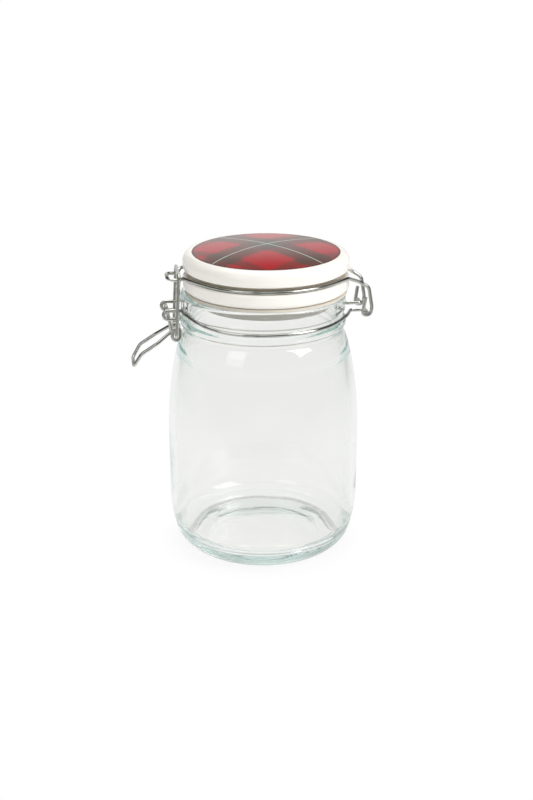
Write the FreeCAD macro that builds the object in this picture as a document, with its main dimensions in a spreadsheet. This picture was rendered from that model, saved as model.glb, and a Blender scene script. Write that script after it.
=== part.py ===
import FreeCAD, Part
import math
import os
import Sketcher

os.makedirs("parts", exist_ok=True)
doc = FreeCAD.newDocument("ClipJar")
vec = FreeCAD.Vector

# Driving sizes, in millimetres. Z is up, the jar's axis is Z, and its foot stands on Z = 0.
# The clip is on the -X side and the hinge on the +X side.
sizes = [
    # glass jar: base and body
    ("bodyRadius", 54.6), ("bodyWall", 3.6), ("floorThick", 6.5), ("footInset", 11.8), ("footWidth", 3.2),
    ("pushBevel", 1.2), ("pushLedge", 6.4), ("pushDepth", 2.0), ("pushStep", 0.6), ("pushDome", 3.0),
    ("heelRise", 32.0), ("heelInset", 3.2), ("insideHeel", 9.0), ("wallHeight", 37.0),
    # glass jar: shoulder, neck and rim
    ("shoulderHeight", 49.0), ("shoulderStand", 4.0), ("shoulderRound", 48.0),
    ("slopeHeight", 9.5), ("neckEase", 0.96), ("neckRound", 11.0), ("waistHeight", 5.1),
    ("neckRadius", 45.2), ("neckWall", 5.0), ("beadStand", 1.4), ("beadHeight", 3.6),
    ("grooveRoom", 2.8), ("rimStand", 1.2), ("rimHeight", 9.9), ("rimRound", 1.6),
    # lid and seal
    ("lidShift", 1.7), ("flangeStand", 0.2), ("sealThick", 1.4), ("sealGap", 0.2), ("sealInset", 1.1),
    ("lowerFlange", 8.2), ("bailPlay", 1.7), ("upperFlange", 8.9), ("grooveDepth", 3.3), ("flangeRound", 3.2),
    ("plugGap", 4.0), ("plugDepth", 8.2), ("plugTaper", 1.2), ("plugWall", 6.4), ("hollowDepth", 3.5),
    ("crownInset", 5.2), ("crownRise", 1.9),
    # wire clip
    ("wireDiameter", 2.0), ("hugGap", 0.1), ("runGap", 0.1), ("sideGap", 0.3), ("slotGap", 0.4),
    ("hairpinReach", 10.4), ("hairpinHalf", 9.3), ("bendRadius", 2.4),
    ("hingeReach", 10.8), ("hingeRise", 0.7), ("hingeHalf", 11.0), ("hingeInner", 7.0),
    ("postHeight", 8.4), ("postLean", 1.3), ("postAside", 0.9), ("legSpread", 1.0), ("legDrop", 8.4),
    ("noseReach", 9.0), ("noseDrop", 1.6), ("noseHalf", 8.4), ("noseTurn", 0.6), ("hookClear", 1.4),
    ("barBack", 6.0), ("footDrop", 12.6), ("footClear", 0.2), ("loopGap", 0.4), ("loopPlay", 2.4),
    ("handleOut", 17.4), ("handleDrop", 13.0), ("handleTip", 4.3), ("tipDrop", 7.2), ("handleFlare", 2.0),
]
sheet = doc.addObject("Spreadsheet::Sheet", "Sizes")
for row, (alias, value) in enumerate(sizes, 1):
    sheet.set("A%d" % row, alias)
    sheet.set("B%d" % row, str(value))
    sheet.setAlias("B%d" % row, alias)
doc.recompute()


class Size:
    """A number together with the expression that gives it from the sheet."""

    def __init__(self, value, text):
        self.value, self.text = float(value), text

    def join(self, other, sign, flip=False):
        other = other if isinstance(other, Size) else Size(other, "%g" % other)
        a, b = (other, self) if flip else (self, other)
        value = {"+": lambda: a.value + b.value, "-": lambda: a.value - b.value,
                 "*": lambda: a.value * b.value, "/": lambda: a.value / b.value}[sign]()
        return Size(value, "(%s %s %s)" % (a.text, sign, b.text))

    def __add__(self, other): return self.join(other, "+")
    def __radd__(self, other): return self.join(other, "+", True)
    def __sub__(self, other): return self.join(other, "-")
    def __rsub__(self, other): return self.join(other, "-", True)
    def __mul__(self, other): return self.join(other, "*")
    def __rmul__(self, other): return self.join(other, "*", True)
    def __truediv__(self, other): return self.join(other, "/")


S = {alias: Size(sheet.get(alias), "Sizes.%s" % alias) for alias, value in sizes}
N = {alias: S[alias].value for alias in S}


def revolved(label, corners, shift=None):
    """A body turned about Z from a closed profile of (radius, height, edge to the next corner)."""
    body = doc.addObject("PartDesign::Body", label)
    body.Label = label
    sketch = body.newObject("Sketcher::SketchObject", label + "_profile")
    plane = [o for o in body.Origin.OriginFeatures if o.Role == "XZ_Plane"][0]
    sketch.AttachmentSupport = [(plane, "")]
    sketch.MapMode = "FlatFace"
    at = [vec(float(r.value if isinstance(r, Size) else r), float(z.value if isinstance(z, Size) else z), 0)
          for r, z, edge in corners]
    ends = []
    for i, (r, z, edge) in enumerate(corners):
        p, q = at[i], at[(i + 1) % len(at)]
        if edge is None:
            ends.append((sketch.addGeometry(Part.LineSegment(p, q), False), 1, 2))
            continue
        bend, side = edge
        half = (q - p) * 0.5
        back = math.sqrt(max(bend.value ** 2 - half.Length ** 2, 0))
        centre = p + half + vec(-half.y, half.x, 0).normalize() * (back * side)
        first, last = (p, q) if side > 0 else (q, p)
        start = math.atan2(first.y - centre.y, first.x - centre.x)
        stop = math.atan2(last.y - centre.y, last.x - centre.x)
        arc = Part.ArcOfCircle(Part.Circle(centre, vec(0, 0, 1), bend.value), start,
                               stop if stop > start else stop + 2 * math.pi)
        geo = sketch.addGeometry(arc, False)
        ends.append((geo, 1, 2) if side > 0 else (geo, 2, 1))
    for i, (r, z, edge) in enumerate(corners):
        geo, start, stop = ends[i]
        after = ends[(i + 1) % len(ends)]
        sketch.addConstraint(Sketcher.Constraint("Coincident", geo, stop, after[0], after[1]))
        for kind, size, axis in (("DistanceX", r, -2), ("DistanceY", z, -1)):
            if not isinstance(size, Size):
                sketch.addConstraint(Sketcher.Constraint("PointOnObject", geo, start, axis))
                continue
            n = sketch.addConstraint(Sketcher.Constraint(kind, -1, 1, geo, start, size.value))
            sketch.setExpression("Constraints[%d]" % n, size.text)
        if edge is not None:
            n = sketch.addConstraint(Sketcher.Constraint("Radius", geo, edge[0].value))
            sketch.setExpression("Constraints[%d]" % n, edge[0].text)
    turn = body.newObject("PartDesign::Revolution", label + "_turn")
    turn.Profile = (sketch, [""])
    turn.ReferenceAxis = (sketch, ["V_Axis"])
    turn.Angle = 360
    body.Tip = turn
    if shift is not None:
        body.setExpression(".Placement.Base.x", shift.text)
    doc.recompute()
    return body


# Glass jar. Outside first, from the push-up in the base to the rim, then back down the inside.
rimRadius = S["neckRadius"] + S["rimStand"]
beadRadius = S["neckRadius"] + S["beadStand"]
mouthRadius = rimRadius - S["neckWall"]
shoulderRadius = S["neckRadius"] + S["shoulderStand"]
insideRadius = S["bodyRadius"] - S["bodyWall"]
footRadius = S["bodyRadius"] - S["footInset"]
pushRadius = footRadius - S["footWidth"] - S["pushBevel"]
pushInner = pushRadius - S["pushLedge"]
wallTop = S["heelRise"] + S["wallHeight"]
shoulderTop = wallTop + S["shoulderHeight"]
neckStart = shoulderTop + S["slopeHeight"]
beadBase = neckStart + S["waistHeight"]
beadTop = beadBase + S["beadHeight"]
grooveTop = beadTop + S["wireDiameter"] + S["grooveRoom"]
rimTop = grooveTop + S["rimHeight"]
floorTop = S["pushDepth"] + S["floorThick"]
# arcs that leave the upright wall smoothly, from how far they come in over their height
shoulderInset = S["bodyRadius"] - shoulderRadius
shoulderBend = (S["shoulderHeight"] * S["shoulderHeight"] + shoulderInset * shoulderInset) / (2 * shoulderInset)
heelSpan = S["heelRise"] * 0.68
heelBend = (heelSpan * heelSpan + S["heelInset"] * S["heelInset"]) / (2 * S["heelInset"])
# domes are spheres centred on the axis
pushBend = (pushInner * pushInner + S["pushDome"] * S["pushDome"]) / (2 * S["pushDome"])
jar = revolved("glass_jar", [
    (0, S["pushDepth"] + S["pushStep"] + S["pushDome"], (pushBend, -1)),
    (pushInner, S["pushDepth"] + S["pushStep"], None),
    (pushRadius, S["pushDepth"], None),
    (footRadius - S["footWidth"], 0, None),
    (footRadius, 0, (S["heelRise"] * 0.5, 1)),
    (S["bodyRadius"] - S["heelInset"], S["heelRise"] * 0.32, (heelBend, 1)),
    (S["bodyRadius"], S["heelRise"], None),
    (S["bodyRadius"], wallTop, (shoulderBend, 1)),
    (shoulderRadius, shoulderTop, (S["shoulderRound"], 1)),
    (S["neckRadius"] + S["neckEase"], neckStart, (S["neckRound"], -1)),
    (S["neckRadius"], beadBase - 0.6, None),
    (beadRadius, beadBase + 0.6, (S["beadHeight"] * 0.9, 1)),
    (beadRadius, beadTop - 0.6, None),
    (S["neckRadius"], beadTop + 0.4, None),
    (S["neckRadius"], grooveTop - 0.4, None),
    (rimRadius, grooveTop + 0.8, None),
    (rimRadius, rimTop - S["rimRound"], (S["rimRound"], 1)),
    (rimRadius - S["rimRound"], rimTop, None),
    (mouthRadius + S["rimRound"], rimTop, (S["rimRound"], 1)),
    (mouthRadius, rimTop - S["rimRound"], None),
    (mouthRadius, beadBase - 3, (S["bodyRadius"] * 0.5, -1)),
    (shoulderRadius - S["bodyWall"] - 0.4, shoulderTop - 4, (shoulderBend, -1)),
    (insideRadius, wallTop, None),
    (insideRadius, floorTop + S["insideHeel"], (S["insideHeel"], -1)),
    (insideRadius - S["insideHeel"], floorTop, None),
    (0, floorTop, None),
])

# Ceramic lid: plug, lower flange, groove for the wire, upper flange, shallow crown.
flangeRadius = rimRadius + S["flangeStand"]
flangeBase = rimTop + S["sealGap"] + S["sealThick"]
grooveBase = flangeBase + S["lowerFlange"]
upperBase = grooveBase + S["wireDiameter"] + S["bailPlay"]
crownEdge = upperBase + S["upperFlange"]
grooveRadius = flangeRadius - S["grooveDepth"]
plugRadius = mouthRadius - S["plugGap"]
plugHollow = plugRadius - S["plugWall"]
crownRadius = flangeRadius - S["crownInset"]
crownBend = (crownRadius * crownRadius + S["crownRise"] * S["crownRise"]) / (2 * S["crownRise"])
plugBase = flangeBase - S["plugDepth"]
soft = S["flangeRound"]
lid = revolved("ceramic_lid", [
    (0, plugBase + S["hollowDepth"], None),
    (plugHollow, plugBase + S["hollowDepth"], None),
    (plugHollow + 2.2, plugBase, None),
    (plugRadius - S["plugTaper"], plugBase, None),
    (plugRadius, flangeBase, None),
    (flangeRadius - soft, flangeBase, (soft, 1)),
    (flangeRadius, flangeBase + soft, None),
    (flangeRadius, grooveBase - 1.2, (soft * 0.5, 1)),
    (flangeRadius - 1.2, grooveBase, None),
    (grooveRadius, grooveBase, None),
    (grooveRadius, upperBase, None),
    (flangeRadius - 1.4, upperBase, (soft * 0.5, 1)),
    (flangeRadius, upperBase + 1.4, None),
    (flangeRadius, crownEdge - soft * 1.3, (soft * 1.5, 1)),
    (crownRadius, crownEdge, (crownBend, 1)),
    (0, crownEdge + S["crownRise"], None),
], S["lidShift"])

seal = revolved("seal_ring", [
    (plugRadius + 0.2, flangeBase - S["sealThick"], None),
    (flangeRadius - S["sealInset"], flangeBase - S["sealThick"], None),
    (flangeRadius - S["sealInset"], flangeBase, None),
    (plugRadius + 0.2, flangeBase, None),
], S["lidShift"])


def bent(label, points):
    """A round wire along straight runs whose corners (point, bend radius) are rounded."""
    edges, here = [], points[0][0]
    for (before, a), (corner, bend), (after, c) in zip(points, points[1:], points[2:]):
        into, out = (corner - before), (after - corner)
        angle = into.getAngle(out)
        if angle < 1e-4:
            continue
        room = 0.499 * min(into.Length, out.Length)
        cut = min(bend * math.tan(angle / 2), room)
        start = corner - into.normalize() * cut
        stop = corner + out.normalize() * cut
        reach = cut / math.tan(angle / 2)
        inward = (out - into).normalize()
        middle = corner + inward * (reach / math.cos(angle / 2) - reach)
        if (start - here).Length > 1e-4:
            edges.append(Part.makeLine(here, start))
        edges.append(Part.Arc(start, middle, stop).toShape())
        here = stop
    edges.append(Part.makeLine(here, points[-1][0]))
    spine = Part.Wire(edges)
    begin = points[0][0]
    way = points[1][0] - begin
    ring = Part.Wire(Part.makeCircle(N["wireDiameter"] / 2, begin, way))
    feature = doc.addObject("Part::Feature", label)
    feature.Label = label
    pipe = spine.makePipeShell([ring], True, False)
    feature.Shape = pipe if pipe.ShapeType == "Solid" else Part.Solid(pipe)
    feature.Placement = FreeCAD.Placement()
    return feature


def around(radius, height, first, last, centre=0.0, lift=None, swell=None):
    """Corners along a ring, so that the rounded corners lie on the ring. Angles in degrees."""
    steps = max(2, int(abs(last - first) / 12))
    step = (last - first) / steps
    found = []
    for i in range(steps):
        a = first + step * (i + 0.5)
        z = height + (lift(a) if lift else 0)
        reach = (radius + (swell(a) if swell else 0)) / math.cos(math.radians(step / 2))
        found.append((vec(centre + reach * math.cos(math.radians(a)), reach * math.sin(math.radians(a)), z), 1e6))
    return found


def mirrored(points):
    """The same corners on the far side, in reverse."""
    return [(vec(p.x, -p.y, p.z), bend) for p, bend in reversed(points)]


wire = N["wireDiameter"]
bend = N["bendRadius"]
ringRadius = N["neckRadius"] + wire / 2 + N["hugGap"]
ringHeight = (beadTop.value + grooveTop.value) / 2

# Neck wire. Each half starts on the hinge side, where its end is a pivot pin along Y, and follows the
# neck. At the front it climbs into the upper leg of a hairpin, whose slot carries the lever. The lower
# legs come back at the ring's own height, and the halves meet at the front.
hingeX = rimRadius.value + N["hingeReach"]
hingeZ = ringHeight + N["hingeRise"]
pinEnd = N["hingeHalf"] + wire + 0.6
turn = wire + N["slotGap"]
hairTop = ringHeight + 2 * turn
hairLow = ringHeight
hairTip = ringRadius + N["hairpinReach"]
hairHalf = N["hairpinHalf"]
backAngle = math.degrees(math.asin(N["hingeInner"] / ringRadius))
# where it leaves the groove the wire lies outside the bead and the rim
outRadius = max(beadRadius.value, rimRadius.value) + wire / 2 + N["hugGap"]
frontAngle = math.degrees(math.asin(hairHalf / outRadius))
hairRoot = -outRadius * math.cos(math.radians(frontAngle))


def ease(share):
    share = max(0.0, min(1.0, share))
    return share * share * (3 - 2 * share)


def front(angle):
    return ease(1 - (180 - abs(angle) - frontAngle) / 50)


def back(angle):
    return ease(1 - (abs(angle) - backAngle) / 26)


def rise(angle):
    """The ring climbs to the upper leg of the hairpin, and to the pins, over its last parts."""
    return (hairTop - ringHeight) * front(angle) + N["hingeRise"] * back(angle)


def swell(angle):
    return (outRadius - ringRadius) * max(ease(front(angle) * 2), ease(back(angle) * 2))


nearHalf = [(vec(hingeX, -pinEnd, hingeZ), 0), (vec(hingeX, -N["hingeInner"], hingeZ), bend * 0.6),
            (vec(outRadius + 1.0, -N["hingeInner"], hingeZ), bend)]
nearHalf += around(ringRadius, ringHeight, -backAngle - 5, -180 + frontAngle + 3, lift=rise, swell=swell)
nearHalf += [(vec(hairRoot - 0.3, -hairHalf, hairTop), bend), (vec(-hairTip, -hairHalf, hairTop), turn),
             (vec(-hairTip, -hairHalf, hairLow), turn), (vec(hairRoot - 0.6, -hairHalf, hairLow), bend * 0.6)]
nearHalf += around(outRadius, hairLow, -180 + frontAngle - 4, -180)
neck = bent("neck_wire", nearHalf + mirrored(nearHalf))

# Lid wire: a hook round each pin with an upright end, a leg up to the lid's groove, the ring in
# the groove, and at the front a nose that the link's bar goes over.
bailRadius = grooveRadius.value + wire / 2 + N["hugGap"] * 3
bailHeight = grooveBase.value + wire / 2 + N["hugGap"]
shift = N["lidShift"]
hook = wire + N["runGap"]
legHalf = N["hingeHalf"]
flangeEdge = shift + flangeRadius.value
noseTip = shift - flangeRadius.value - N["noseReach"]
noseLow = bailHeight - N["noseDrop"]
backBail = math.degrees(math.asin(legHalf / bailRadius))
legTop = bailHeight - N["legDrop"]
clearRadius = flangeRadius.value + wire / 2 + N["runGap"]
leaveAngle = backBail + math.degrees(math.acos(bailRadius / clearRadius)) * 0.6
postFoot = hingeX - hook - N["postLean"] * hook / N["postHeight"]
nearBail = [
    (vec(hingeX - hook + N["postLean"], -legHalf - N["postAside"], hingeZ + N["postHeight"]), 0),
    (vec(postFoot, -legHalf, hingeZ - hook), hook),
    (vec(hingeX + hook, -legHalf, hingeZ - hook), hook),
    (vec(hingeX + hook + N["legSpread"], -legHalf, hingeZ + hook), bend * 3),
    (vec(hingeX + N["legSpread"], -legHalf, legTop), bend * 1.6),
    (vec(flangeEdge + 4.2, -legHalf - 0.8, legTop + 3.6), bend * 3),
    (vec(shift + clearRadius * math.cos(math.radians(leaveAngle)),
         -clearRadius * math.sin(math.radians(leaveAngle)), bailHeight), bend * 3),
]
nearBail += around(bailRadius, bailHeight, -leaveAngle - 14, -180 + 24, shift)
nearBail += [
    (vec(shift - flangeRadius.value - 0.9, -N["noseHalf"] - 2.6, bailHeight + 0.3), bend * 0.6),
    (vec(shift - flangeRadius.value - 2.4, -N["noseHalf"] + 0.4, noseLow + 0.1), bend * 0.6),
    (vec(noseTip + 4.6, -N["noseHalf"] + 0.8, noseLow), bend * 2),
    (vec(noseTip, -N["noseHalf"] + 2.6, noseLow + N["noseTurn"]), bend * 1.8),
]
bail = bent("lid_wire", nearBail + mirrored(nearBail))

# Link: a closed frame whose top bar lies over the nose and whose foot hangs in the lever's loops.
pivotX, pivotZ = -(hairTip - turn), (hairTop + hairLow) / 2
linkHalf = hairHalf + wire + N["sideGap"]
slopeRadius = N["neckRadius"] + N["neckEase"]
footX = -(slopeRadius + N["footClear"] + wire * 1.5 + N["loopGap"])
footZ = pivotZ - N["footDrop"]
barX, barZ = noseTip + N["barBack"], noseLow + wire + N["hookClear"]
half = linkHalf
frame = [(vec(footX, 0, footZ), 0), (vec(footX, -half, footZ), bend * 0.7), (vec(barX, -half, barZ), bend * 0.7),
         (vec(barX, half, barZ), bend * 0.7), (vec(footX, half, footZ), bend * 0.7), (vec(footX, 0.0, footZ), 0)]
link = bent("clip_link", frame)

# Lever: a pin through each hairpin, a leg down to a loop round the link's foot, and the handle.
leverHalf = hairHalf - wire - N["sideGap"]
innerHalf = leverHalf - wire - 0.1
loopIn = footX + wire + N["loopGap"]
loopOut = footX - wire - N["loopGap"]
loopHeight = 2 * wire + N["loopPlay"]
loopLow = footZ - loopHeight * 0.47
loopTop = loopLow + loopHeight
legEnd = vec(loopOut - N["handleOut"], 0, loopTop - N["handleDrop"])
nearLever = [
    (vec(pivotX, -hairHalf - wire / 2 - 0.1, pivotZ), 0),
    (vec(pivotX, -leverHalf, pivotZ), bend * 0.6),
    (vec(loopOut, -leverHalf, loopTop - 0.6), bend * 2),
    (vec(loopOut + 0.3, -leverHalf, loopLow), bend),
    (vec(loopIn, -leverHalf + 0.7, loopLow), bend),
    (vec(loopIn, -innerHalf, loopTop), bend),
    (vec(loopOut + 1.4, -innerHalf, loopTop - 0.4), bend * 1.6),
    (vec(legEnd.x + 9.0, -leverHalf - N["handleFlare"], legEnd.z + 5.8), bend * 3),
    (vec(legEnd.x, -leverHalf - N["handleFlare"], legEnd.z), bend * 2.5),
    (vec(legEnd.x - N["handleTip"], -leverHalf - N["handleFlare"] + 1.4, legEnd.z - N["tipDrop"]), bend * 0.9),
]
lever = bent("clip_lever", nearLever + mirrored(nearLever))

doc.recompute()
for part in (jar, lid, seal, neck, bail, link, lever):
    if "Invalid" in part.State or "Error" in part.State:
        raise RuntimeError("%s did not recompute: %s" % (part.Label, part.State))
    if part.Shape.isNull() or not part.Shape.isValid():
        raise RuntimeError("%s has no valid shape" % part.Label)
    part.Shape.exportStep("parts/%s.step" % part.Label)
    print(part.Label, round(part.Shape.Volume), part.Shape.BoundBox)
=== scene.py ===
import math

import bpy
import numpy as np
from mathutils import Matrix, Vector


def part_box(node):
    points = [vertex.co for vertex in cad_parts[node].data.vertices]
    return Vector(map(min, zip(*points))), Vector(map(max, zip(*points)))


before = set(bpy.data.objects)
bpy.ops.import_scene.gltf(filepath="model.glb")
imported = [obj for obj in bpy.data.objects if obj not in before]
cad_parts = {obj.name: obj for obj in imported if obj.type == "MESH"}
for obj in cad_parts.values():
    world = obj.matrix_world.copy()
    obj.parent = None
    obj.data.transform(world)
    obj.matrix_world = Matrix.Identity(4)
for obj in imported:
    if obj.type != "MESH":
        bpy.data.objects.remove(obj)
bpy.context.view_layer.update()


def boxOf(node):
    low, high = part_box(node)
    return np.array(low, float), np.array(high, float)


# A wrapped socket: arithmetic on it adds Math nodes, and numbers alone stay in Python.
class Wire:
    def __init__(self, tree, socket):
        self.tree = tree
        self.socket = socket

    def math(self, operation, *values, clamp=False):
        return self.tree.wire("ShaderNodeMath", dict(operation=operation, use_clamp=clamp),
                              dict(enumerate(values)))

    def __add__(self, other):
        return self.math("ADD", self, other)

    def __radd__(self, other):
        return self.math("ADD", other, self)

    def __sub__(self, other):
        return self.math("SUBTRACT", self, other)

    def __rsub__(self, other):
        return self.math("SUBTRACT", other, self)

    def __mul__(self, other):
        return self.math("MULTIPLY", self, other)

    def __rmul__(self, other):
        return self.math("MULTIPLY", other, self)

    def __truediv__(self, other):
        return self.math("DIVIDE", self, other)

    def __rtruediv__(self, other):
        return self.math("DIVIDE", other, self)

    def __pow__(self, other):
        return self.math("POWER", self, other)

    def __rpow__(self, other):
        return self.math("POWER", other, self)

    def abs(self):
        return self.math("ABSOLUTE", self)

    # never above other
    def low(self, other):
        return self.math("MINIMUM", self, other)

    # held between 0 and 1
    def clip(self):
        return self.math("ADD", self, 0.0, clamp=True)

    # a soft step: 0 below first, 1 above last
    def step(self, first, last):
        return self.tree.wire("ShaderNodeMapRange", dict(interpolation_type="SMOOTHSTEP"),
                              {"Value": self, "From Min": first, "From Max": last})


# The node tree of a material or of the world. add() makes every node: settings first, then
# the values or links of its sockets. wire() gives one output of such a node, wrapped.
class Tree:
    def __init__(self, owner):
        owner.use_nodes = True
        self.owner = owner
        self.nodes = owner.node_tree.nodes
        self.links = owner.node_tree.links
        self.nodes.clear()

    def add(self, kind, settings=None, inputs=None):
        node = self.nodes.new(kind)
        for key, value in (settings or {}).items():
            setattr(node, key, value)
        for key, value in (inputs or {}).items():
            if isinstance(value, Wire):
                self.links.new(value.socket, node.inputs[key])
            else:
                node.inputs[key].default_value = value
        return node

    def wire(self, kind, settings=None, inputs=None, out=0):
        return Wire(self, self.add(kind, settings, inputs).outputs[out])

    # a colour between two others
    def mix(self, share, first, second):
        return self.wire("ShaderNodeMix", dict(data_type="RGBA"), {0: share, 6: first, 7: second}, out=2)

    # the place on the object, in metres
    def spot(self):
        return self.wire("ShaderNodeTexCoord", out=3)

    def parts(self, vector):
        node = self.add("ShaderNodeSeparateXYZ", inputs={0: vector})
        return [Wire(self, node.outputs[axis]) for axis in range(3)]

    def noise(self, scale, detail=3.0):
        return self.wire("ShaderNodeTexNoise",
                         inputs={"Vector": self.spot(), "Scale": scale, "Detail": detail})

    def bump(self, height, strength, distance):
        return self.wire("ShaderNodeBump",
                         inputs={"Height": height, "Strength": strength, "Distance": distance})

    # Three wires that are 1 for the camera's own rays, for mirrored rays and for rays through
    # glass. A ray bent by glass is marked glossy too, and here it counts as through alone.
    def looks(self):
        node = self.add("ShaderNodeLightPath")
        seen = Wire(self, node.outputs["Is Camera Ray"])
        glossy = Wire(self, node.outputs["Is Glossy Ray"])
        through = Wire(self, node.outputs["Is Transmission Ray"])
        return seen, glossy * (1.0 - through), through

    # a finished material, with an optional volume for what fills it
    def surface(self, inputs, volume=None):
        sockets = {"Surface": self.wire("ShaderNodeBsdfPrincipled", inputs=inputs)}
        if volume is not None:
            sockets["Volume"] = volume
        self.add("ShaderNodeOutputMaterial", inputs=sockets)
        return self.owner


def newTree(name):
    return Tree(bpy.data.materials.new(name))


def dress(node, material):
    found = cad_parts[node]
    found.data.materials.clear()
    found.data.materials.append(material)


print("frame loaded:", sorted(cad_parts))

# Glass: clear, tinted by its thickness, with slow waves of moulding and fine seeds.
glass = dict(
    tint=(0.962, 0.958, 0.945, 1), bend=1.50,
    depth=(0.30, 0.60, 0.55, 1), density=6.5,  # colour and strength of the tint inside
    waveScale=22.0, wave=0.16, waveHeight=0.004,
    seedScale=420.0, seedFrom=0.74, seedTo=0.80, seedHeight=0.02,
    rough=0.010, roughMore=0.016, roughScale=170.0,
    bounces=32)  # with only a few, its thick places turn black


def glassMaterial():
    t = newTree("clearGlass")
    wave = t.noise(glass["waveScale"], 2.0)
    fine = t.noise(glass["roughScale"], 2.0)
    seeds = t.noise(glass["seedScale"], 1.0).step(glass["seedFrom"], glass["seedTo"])
    depth = t.wire("ShaderNodeVolumeAbsorption",
                   inputs={"Color": glass["depth"], "Density": glass["density"]})
    relief = t.bump(wave + seeds * glass["seedHeight"], glass["wave"], glass["waveHeight"])
    return t.surface({"Base Color": glass["tint"], "Roughness": glass["rough"] + glass["roughMore"] * fine,
                      "IOR": glass["bend"], "Transmission Weight": 1.0, "Normal": relief}, volume=depth)


dress("glass_jar", glassMaterial())

# Lid: cream glaze, and on the crown a round tartan print. crossX and crossY place the crossing of
# the two pale lines, and bow bends both lines forward with the square of the radius. bands are
# distances from a line: the wide dark band ends at the first, a narrow one lies between the others.
lid = dict(
    cream=(0.930, 0.905, 0.850, 1),
    iron=(0.80, 0.73, 0.62, 1), ironScale=26.0, ironShare=0.14,
    speckScale=900.0, speckFrom=0.70, speckTo=0.78, speckShare=0.10,
    grooveShade=(0.34, 0.27, 0.18, 1), grooveShadeShare=0.75,  # painted shade in the wire's groove and under the upper flange
    grooveFrom=0.0436, grooveTo=0.0462,            # by radius
    grooveFloor=(0.0170, 0.0150), grooveRoof=(0.0108, 0.0098),  # below the top of the lid
    red=(0.46, 0.005, 0.012, 1),
    olive=(0.046, 0.036, 0.018, 1), oliveShare=0.90,
    green=(0.008, 0.042, 0.026, 1), greenShare=0.92,  # where dark bands cross
    deepRed=(0.24, 0.004, 0.010, 1), ribScale=520.0, ribShare=0.20, weaveScale=240.0, weaveShare=0.22,
    line=(0.44, 0.60, 0.50, 1), lineHalf=0.00030, lineSoft=0.00022, lineShare=0.80,
    ink=(0.050, 0.008, 0.008, 1), inkWide=0.0022, inkEnd=0.0004, inkShare=0.75,  # the print's dark rim
    turn=37.5, crossX=0.0018, crossY=0.00985, bow=0.0085,
    bands=(0.0100, 0.0325, 0.0365), narrowShare=0.65, soft=0.0030,
    threadScale=900.0, threadWander=0.0022,
    printRadius=0.0414, printDepth=(0.0032, 0.0027),
    edgeScale=300.0, edgeWander=0.0003, edgeSoft=(-0.0001, 0.00015),
    rough=0.10, roughMore=0.12, rippleScale=60.0, ripple=0.06, rippleHeight=0.0006, bend=1.48)


# the red ground with dark bands, threads and two pale lines
def tartan(t, x, y, radius):
    angle = math.radians(lid["turn"])
    across = x - lid["crossX"]
    along = y - lid["crossY"] + lid["bow"] * (radius / lid["printRadius"]) ** 2.0
    # u and v are the distances from the two pale lines
    u = (across * math.cos(angle) + along * math.sin(angle)).abs()
    v = (along * math.cos(angle) - across * math.sin(angle)).abs()
    # threads waver a little, so that the bands' borders are woven and not ruled
    thread = (t.noise(lid["threadScale"], 2.0) - 0.5) * lid["threadWander"]
    first, second, third = lid["bands"]
    soft = lid["soft"]

    # 1 inside the first band, less between the second and third, 0 on the red
    def dark(axis):
        woven = axis + thread
        wide = 1.0 - woven.step(first - soft, first + soft)
        narrow = woven.step(second - soft, second) * (1.0 - woven.step(third, third + soft))
        return (wide + narrow * lid["narrowShare"]).clip()

    def stripe(axis):
        return 1.0 - axis.step(lid["lineHalf"], lid["lineHalf"] + lid["lineSoft"])

    darkU = dark(u)
    darkV = dark(v)
    colour = t.mix((darkU + darkV).clip() * lid["oliveShare"], lid["red"], lid["olive"])
    colour = t.mix(darkU * darkV * lid["greenShare"], colour, lid["green"])
    ribs = t.wire("ShaderNodeTexWave", dict(bands_direction="DIAGONAL"),
                  {"Vector": t.spot(), "Scale": lid["ribScale"]})
    weave = ribs * lid["ribShare"] + t.noise(lid["weaveScale"]) * lid["weaveShare"]
    colour = t.mix(weave, colour, lid["deepRed"])
    colour = t.mix((stripe(u) + stripe(v)).clip() * lid["lineShare"], colour, lid["line"])
    rim = radius.step(lid["printRadius"] - lid["inkWide"], lid["printRadius"] - lid["inkEnd"])
    return t.mix(rim * lid["inkShare"], colour, lid["ink"])


# cream with faint clouds and specks, and painted shade in the wire's groove and under the upper flange
def glaze(t, z, radius, top):
    speck = t.noise(lid["speckScale"], 2.0).step(lid["speckFrom"], lid["speckTo"])
    cloud = t.noise(lid["ironScale"]) * lid["ironShare"] + speck * lid["speckShare"]
    cream = t.mix(cloud, lid["cream"], lid["iron"])
    floor = [top - depth for depth in lid["grooveFloor"]]
    roof = [top - depth for depth in lid["grooveRoof"]]
    inside = 1.0 - radius.step(lid["grooveFrom"], lid["grooveTo"])
    # painted shade: the groove and the upper flange's underside are darkened where shade falls
    groove = z.step(*floor) * (1.0 - z.step(*roof)) * inside
    return t.mix(groove * lid["grooveShadeShare"], cream, lid["grooveShade"])


def lidMaterial():
    low, high = boxOf("ceramic_lid")
    centreX = float(low[0] + high[0]) / 2
    top = float(high[2])
    t = newTree("glazedLid")
    x, y, z = t.parts(t.spot())
    x = x - centreX
    radius = (x * x + y * y) ** 0.5
    edge = lid["printRadius"] + (t.noise(lid["edgeScale"]) - 0.5) * lid["edgeWander"]
    crown = z.step(*[top - depth for depth in lid["printDepth"]])
    printed = (1.0 - (radius - edge).step(*lid["edgeSoft"])) * crown
    colour = t.mix(printed, glaze(t, z, radius, top), tartan(t, x, y, radius))
    ripple = t.noise(lid["rippleScale"], 2.0)
    return t.surface({"Base Color": colour, "Roughness": lid["rough"] + lid["roughMore"] * ripple,
                      "IOR": lid["bend"], "Normal": t.bump(ripple, lid["ripple"], lid["rippleHeight"])})


dress("ceramic_lid", lidMaterial())

# Seal: pale rubber with a fine matt bloom.
seal = dict(
    pale=(0.70, 0.66, 0.57, 1), dusty=(0.58, 0.53, 0.44, 1), dustScale=40.0, dustShare=0.7,
    rough=0.55, roughMore=0.15, grainScale=700.0, grain=0.15, grainHeight=0.0002)


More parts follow.
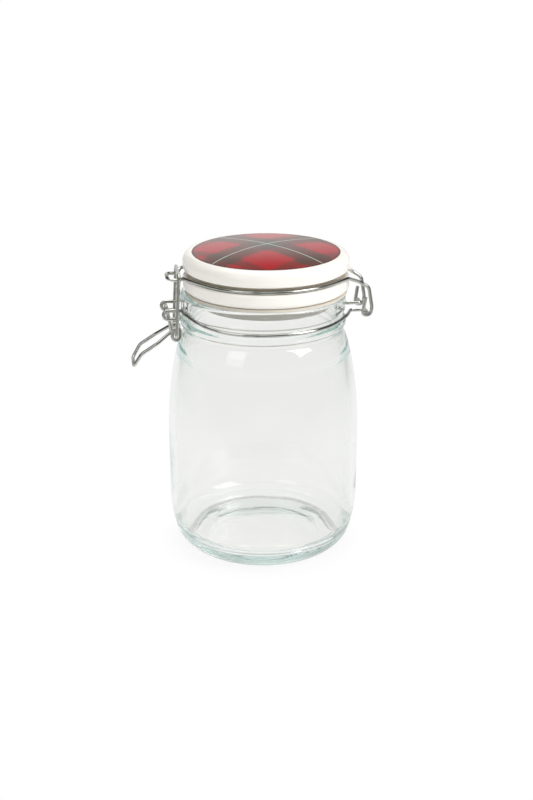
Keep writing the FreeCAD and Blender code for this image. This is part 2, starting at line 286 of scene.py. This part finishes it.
def sealMaterial():
    t = newTree("sealRubber")
    grain = t.noise(seal["grainScale"], 4.0)
    dust = t.noise(seal["dustScale"]) * seal["dustShare"]
    return t.surface({"Base Color": t.mix(dust, seal["pale"], seal["dusty"]),
                      "Roughness": seal["rough"] + seal["roughMore"] * grain,
                      "Normal": t.bump(grain, seal["grain"], seal["grainHeight"])})


dress("seal_ring", sealMaterial())

# Wire: drawn steel, with fine draw marks and a few duller rubbed places.
steel = dict(
    pieces=("neck_wire", "lid_wire", "clip_link", "clip_lever"),
    bright=(0.64, 0.65, 0.61, 1), dull=(0.28, 0.28, 0.25, 1),
    rubbedScale=90.0, rubbedFrom=0.5, rubbedTo=0.72, rubbedShare=0.7,
    rough=0.10, drawnRough=0.08, rubbedRough=0.12, drawnScale=1500.0, drawn=0.12, drawnHeight=0.00015)


def steelMaterial(name):
    t = newTree(name)
    drawn = t.noise(steel["drawnScale"])
    rubbed = t.noise(steel["rubbedScale"]).step(steel["rubbedFrom"], steel["rubbedTo"])
    colour = t.mix(rubbed * steel["rubbedShare"], steel["bright"], steel["dull"])
    rough = steel["rough"] + steel["drawnRough"] * drawn + steel["rubbedRough"] * rubbed
    return t.surface({"Base Color": colour, "Metallic": 1.0, "Roughness": rough,
                      "Normal": t.bump(drawn, steel["drawn"], steel["drawnHeight"])})


for node in steel["pieces"]:
    dress(node, steelMaterial("steel_" + node))
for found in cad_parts.values():
    found.data.shade_smooth()
print("materials on", len(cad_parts), "nodes")

# Backdrop: a pale sheet that curves up behind. The camera sees it white. Mirrored rays see it
# bright low down and behind, and darker high up, in front and at the sides, which draws the
# wires. Rays through glass see it half as dim there, which draws the glass's edges.
sheet = dict(
    half=2.2, back=1.6, rise=1.8, curve=0.5,
    flatSteps=30, curveSteps=17, riseSteps=12, acrossSteps=25,
    white=0.92, shadow=0.10, shadowFrom=0.046, shadowTo=0.066,
    frontDark=0.45, backBright=0.97, frontY=-0.36, backY=-0.08,
    topDark=0.08, topFrom=0.55, topTo=1.0,
    sideDark=0.50, sideFrom=0.16, sideTo=0.60,
    mirrorLevel=0.90, throughDark=0.50)
black = (0, 0, 0, 1)
fullWhite = (1, 1, 1, 1)


# Two parameters: one across, and one along a profile that runs level, turns up a quarter circle
# and climbs.
def sweep(half, back, rise, curve):
    flat = np.linspace(-half, back - curve, sheet["flatSteps"])
    arc = np.linspace(0, math.pi / 2, sheet["curveSteps"])[1:]
    up = np.linspace(curve, rise, sheet["riseSteps"])[1:]
    profileY = np.concatenate([flat, back - curve + curve * np.sin(arc), np.full(up.size, back)])
    profileZ = np.concatenate([np.zeros(flat.size), curve - curve * np.cos(arc), up])
    across = np.linspace(-half, half, sheet["acrossSteps"])
    gridX, gridY = np.meshgrid(across, profileY)
    gridZ = np.repeat(profileZ[:, None], across.size, axis=1)
    rows, columns = gridX.shape
    corner = (np.arange(rows - 1)[:, None] * columns + np.arange(columns - 1)[None, :]).ravel()
    faces = np.stack([corner, corner + 1, corner + columns + 1, corner + columns], axis=1)
    points = np.stack([gridX.ravel(), gridY.ravel(), gridZ.ravel()], axis=1)
    mesh = bpy.data.meshes.new("backdrop")
    mesh.from_pydata(points.tolist(), [], faces.tolist())
    mesh.shade_smooth()
    swept = bpy.data.objects.new("backdrop", mesh)
    bpy.context.scene.collection.objects.link(swept)
    return swept


def sheetMaterial():
    t = newTree("backdropWhite")
    seen, mirror, through = t.looks()
    x, y, z = t.parts(t.spot())
    brighter = sheet["backBright"] - sheet["frontDark"]
    front = sheet["frontDark"] + brighter * y.step(sheet["frontY"], sheet["backY"])
    highUp = 1.0 - (1 - sheet["topDark"]) * z.step(sheet["topFrom"], sheet["topTo"])
    side = 1.0 - sheet["sideDark"] * x.abs().step(sheet["sideFrom"], sheet["sideTo"])
    mirrored = front * highUp * side
    past = 1.0 - sheet["throughDark"] * (1.0 - mirrored)
    level = seen + mirror * mirrored * sheet["mirrorLevel"] + through * past
    glow = t.wire("ShaderNodeEmission", inputs={"Color": t.mix(level, black, fullWhite), "Strength": 1.0})
    paper = t.wire("ShaderNodeBsdfDiffuse", inputs={"Color": (sheet["white"],) * 3 + (1,)})
    # near the foot the camera sees some of the paper, which keeps the shadow
    away = (x * x + y * y) ** 0.5
    clear = away.step(sheet["shadowFrom"], sheet["shadowTo"])
    blank = (seen * (1 - sheet["shadow"] + sheet["shadow"] * clear) + mirror + through).clip()
    mixed = t.wire("ShaderNodeMixShader", inputs={0: blank, 1: paper, 2: glow})
    t.add("ShaderNodeOutputMaterial", inputs={"Surface": mixed})
    return t.owner


backdrop = sweep(sheet["half"], sheet["back"], sheet["rise"], sheet["curve"])
backdrop.data.materials.append(sheetMaterial())

# Sky: an even light. Mirrored rays see it dim low down, nearly black halfway up and brighter
# than white overhead. Rays through glass see it half as dim, and white overhead.
sky = dict(
    world=0.62, low=0.20, dark=0.03, high=1.30, through=0.50,
    dimFrom=0.10, dimTo=0.32, brightFrom=0.72, brightTo=0.88)


def lightSky():
    world = bpy.data.worlds.new("softWorld")
    bpy.context.scene.world = world
    t = Tree(world)
    seen, mirror, through = t.looks()
    height = t.parts(t.wire("ShaderNodeTexCoord"))[2]
    mirrored = sky["low"] - (sky["low"] - sky["dark"]) * height.step(sky["dimFrom"], sky["dimTo"]) \
        + (sky["high"] - sky["dark"]) * height.step(sky["brightFrom"], sky["brightTo"])
    past = (1.0 - sky["through"] * (1.0 - mirrored)).low(1.0)
    rest = 1.0 - (seen + mirror + through).clip()
    level = seen + mirror * mirrored + through * past + rest * sky["world"]
    brightest = (sky["high"],) * 3 + (1,)
    glow = t.wire("ShaderNodeBackground",
                  inputs={"Color": t.mix(level / sky["high"], black, brightest), "Strength": 1.0})
    t.add("ShaderNodeOutputWorld", inputs={"Surface": glow})


lightSky()

# Lamps: a key from the right, a weak fill from the left and one above and behind.
lamps = dict(
    key=dict(place=(0.95, -0.65, 0.95), target=(0, 0, 0.09), wide=0.7, tall=0.9, power=10.6),
    fill=dict(place=(-0.9, -0.9, 0.8), target=(0, 0, 0.09), wide=0.6, tall=0.9, power=2.4),
    top=dict(place=(0.1, 0.5, 1.3), target=(0, 0, 0.12), wide=0.9, tall=0.5, power=4.0))


def softbox(name, place, target, wide, tall, power):
    light = bpy.data.lights.new(name, "AREA")
    light.shape = "RECTANGLE"
    light.size = wide
    light.size_y = tall
    light.energy = power
    lamp = bpy.data.objects.new(name, light)
    lamp.location = place
    lamp.rotation_euler = (Vector(target) - Vector(place)).to_track_quat("-Z", "Y").to_euler()
    bpy.context.scene.collection.objects.link(lamp)


for name, settings in lamps.items():
    softbox(name, **settings)
print("studio lit")

# Camera: 62.7 mm on a 36 mm long side, 20.5 degrees down and 7.5 degrees round the jar.
camera = dict(
    lens=62.73, wide=36.0, tall=24.0, pitch=20.49, turn=-7.5,
    side=0.0011, away=0.755, z=0.367, shift=0.001875,  # the shift centres the jar
    near=0.01, far=20.0)


def placeCamera():
    lens = bpy.data.cameras.new("camera")
    lens.sensor_fit = "AUTO"
    lens.sensor_width = camera["wide"]
    lens.sensor_height = camera["tall"]
    lens.lens = camera["lens"]
    lens.clip_start = camera["near"]
    lens.clip_end = camera["far"]
    lens.shift_x = camera["shift"]
    eye = bpy.data.objects.new("camera", lens)
    turn = math.radians(camera["turn"])
    eye.location = (camera["side"] * math.cos(turn) + camera["away"] * math.sin(turn),
                    camera["side"] * math.sin(turn) - camera["away"] * math.cos(turn), camera["z"])
    eye.rotation_euler = (math.radians(90 - camera["pitch"]), 0, turn)
    bpy.context.scene.collection.objects.link(eye)
    bpy.context.scene.camera = eye


placeCamera()
bpy.context.scene.view_settings.view_transform = "Standard"

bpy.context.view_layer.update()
for limit in ("max_bounces", "glossy_bounces", "transmission_bounces", "transparent_max_bounces"):
    setattr(bpy.context.scene.cycles, limit, glass["bounces"])
